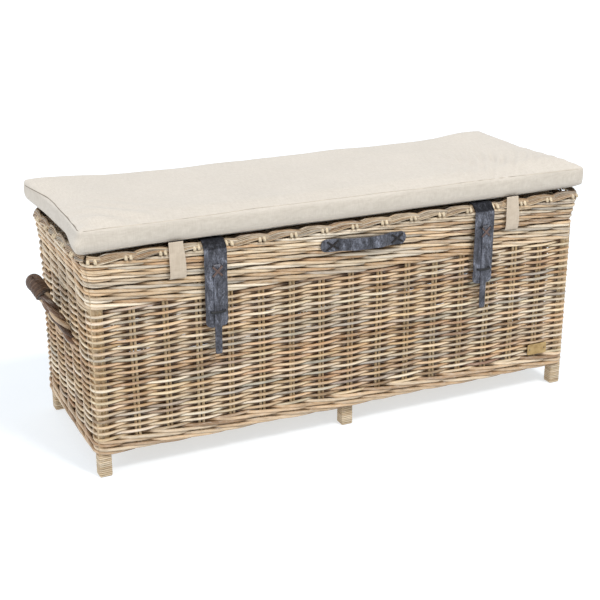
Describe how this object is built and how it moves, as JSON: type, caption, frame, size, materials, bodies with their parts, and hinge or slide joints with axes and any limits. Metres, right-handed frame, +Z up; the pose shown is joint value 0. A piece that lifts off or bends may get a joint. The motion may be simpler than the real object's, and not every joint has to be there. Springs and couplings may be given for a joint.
{
  "type": "storage bench",
  "caption": "Woven rattan storage bench with a hinged lid, leather closing straps and pull, bound side handles and a tied-on box cushion.",
  "frame": {"origin": "on the floor, under the middle of the woven box", "axes": "+Z up, X along the bench with +X to the right as seen from the front, -Y towards the front (the side with the straps)"},
  "size_m": [1.29, 0.4326, 0.54],
  "materials": {
    "cane": "grey-washed natural rattan, satin",
    "dark_cane": "dark stained cane binding",
    "pole": "peeled rattan pole, matte",
    "base_board": "plain thin board, matte",
    "leather": "slate grey waxed leather, slight sheen",
    "thread": "waxed brown thread",
    "canvas": "cream cotton canvas",
    "steel": "dark bronzed steel",
    "plate_brass": "antiqued brass"
  },
  "bodies": {
    "basket": {"base_border": "cane", "base_cross_rail": "pole", "base_panel": "base_board", "base_rail_back": "pole", "base_rail_front": "pole", "base_rail_left": "pole", "base_rail_right": "pole", "corner_post_back_left": "pole", "corner_post_back_right": "pole", "corner_post_front_left": "pole", "corner_post_front_right": "pole", "foot_bindings": "cane", "hinge_leaves_basket": "steel", "hinge_pins": "steel", "hinge_screws_basket": "steel", "label_pins": "plate_brass", "label_plate": "plate_brass", "middle_post_back": "pole", "middle_post_front": "pole", "rim_rail_back": "pole", "rim_rail_front": "pole", "side_grip_left": "dark_cane", "side_grip_right": "dark_cane", "side_handle_left": "cane", "side_handle_right": "cane", "wall_back": "cane", "wall_band_back": "cane", "wall_band_front": "cane", "wall_band_left": "cane", "wall_band_right": "cane", "wall_front": "cane", "wall_left": "cane", "wall_right": "cane"},
    "lid": {"cushion": "canvas", "cushion_ties": "canvas", "hinge_leaves_lid": "steel", "hinge_screws_lid": "steel", "lid_battens": "pole", "lid_border": "cane", "lid_panel": "cane", "lid_rail_back": "pole", "lid_rail_front": "pole", "lid_rail_left": "pole", "lid_rail_right": "pole", "lid_rim_back": "cane", "lid_rim_front": "cane", "lid_rim_left": "cane", "lid_rim_right": "cane", "pull_handle": "leather", "pull_stitches": "thread", "strap_anchors": "leather"},
    "strap_left": {"strap_left": "leather", "strap_keeper_left": "leather", "strap_stitch_left": "thread", "strap_tongue_left": "leather"},
    "strap_right": {"strap_right": "leather", "strap_keeper_right": "leather", "strap_stitch_right": "thread", "strap_tongue_right": "leather"}
  },
  "joints": [
    {"name": "lid_hinge", "type": "hinge", "parent": "basket", "child": "lid", "pos_m": [0, 0.2045, 0.406], "axis": [-1, 0, 0], "range_deg": [0, 100]},
    {"name": "strap_left_swing", "type": "hinge", "parent": "lid", "child": "strap_left", "pos_m": [-0.312, -0.20735, 0.461], "axis": [-1, 0, 0], "range_deg": [0, 100]},
    {"name": "strap_right_swing", "type": "hinge", "parent": "lid", "child": "strap_right", "pos_m": [0.32, -0.20735, 0.461], "axis": [-1, 0, 0], "range_deg": [0, 100]}
  ]
}
